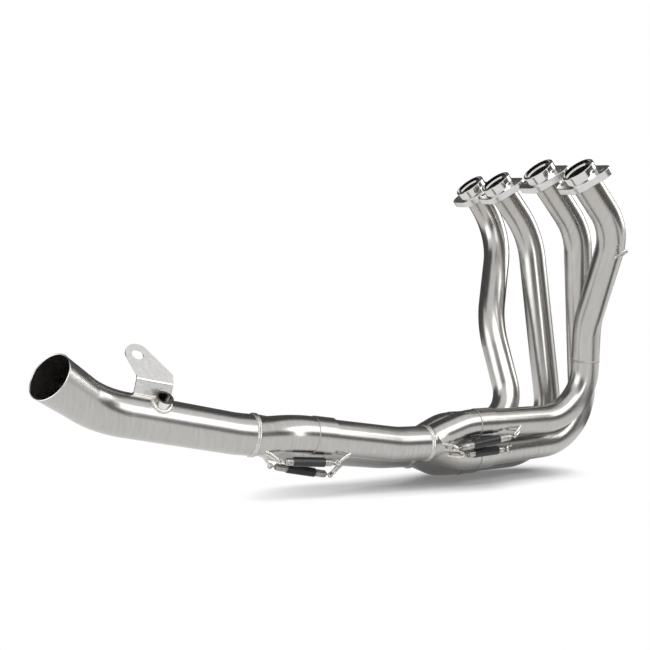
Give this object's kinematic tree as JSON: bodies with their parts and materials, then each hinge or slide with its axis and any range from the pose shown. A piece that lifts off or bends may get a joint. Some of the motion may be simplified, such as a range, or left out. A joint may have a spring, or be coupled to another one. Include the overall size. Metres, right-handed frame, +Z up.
{
  "type": "motorcycle exhaust header",
  "caption": "Bent tube exhaust header that gathers the ports of an inline engine in pairs and then into one rear outlet, with spring held slip joints.",
  "frame": {"origin": "centre of the flange's seat on the right hand port, which is nearest in the picture", "axes": "+X towards the front of the motorcycle, +Y towards its left side, +Z up"},
  "size_m": [0.7993, 0.3248, 0.4381],
  "materials": {
    "tube_steel": "satin brushed stainless tube",
    "collar_steel": "turned and polished stainless",
    "flange_steel": "satin laser cut plate",
    "wire_steel": "drawn wire, tinted at its welds",
    "spring_steel": "bright spring wire",
    "bracket_steel": "brushed folded sheet",
    "bung_steel": "turned and polished",
    "sleeve_rubber": "matt black heat resistant rubber"
  },
  "bodies": {
    "root": {"inlet_collar_1": "collar_steel", "inlet_collar_2": "collar_steel", "inlet_collar_3": "collar_steel", "inlet_collar_4": "collar_steel", "link_pipe": "tube_steel", "main_collector": "tube_steel", "mounting_bracket": "bracket_steel", "port_flange_1": "flange_steel", "port_flange_2": "flange_steel", "port_flange_3": "flange_steel", "port_flange_4": "flange_steel", "primary_tube_1": "tube_steel", "primary_tube_2": "tube_steel", "primary_tube_3": "tube_steel", "primary_tube_4_lower": "tube_steel", "primary_tube_4_upper": "tube_steel", "secondary_tube_far": "tube_steel", "secondary_tube_near": "tube_steel", "sensor_bung": "bung_steel", "slip_socket_1": "tube_steel", "slip_socket_2": "tube_steel", "slip_socket_3": "tube_steel", "slip_socket_4": "tube_steel", "slip_socket_far": "tube_steel", "slip_socket_near": "tube_steel", "spare_hook_3": "wire_steel", "spare_hook_4": "wire_steel", "spring_hook_1_front": "wire_steel", "spring_hook_1_rear": "wire_steel", "spring_hook_2_front": "wire_steel", "spring_hook_2_rear": "wire_steel", "spring_hook_3_front": "wire_steel", "spring_hook_3_rear": "wire_steel", "spring_hook_4_front": "wire_steel", "spring_hook_4_rear": "wire_steel", "spring_hook_far_front": "wire_steel", "spring_hook_far_rear": "wire_steel", "spring_hook_near_front": "wire_steel", "spring_hook_near_rear": "wire_steel", "spring_sleeve_1": "sleeve_rubber", "spring_sleeve_2": "sleeve_rubber", "spring_sleeve_3": "sleeve_rubber", "spring_sleeve_4": "sleeve_rubber", "spring_sleeve_far": "sleeve_rubber", "spring_sleeve_near": "sleeve_rubber", "tension_spring_1": "spring_steel", "tension_spring_2": "spring_steel", "tension_spring_3": "spring_steel", "tension_spring_4": "spring_steel", "tension_spring_far": "spring_steel", "tension_spring_near": "spring_steel", "y_collector_far": "tube_steel", "y_collector_near": "tube_steel"}
  },
  "joints": []
}
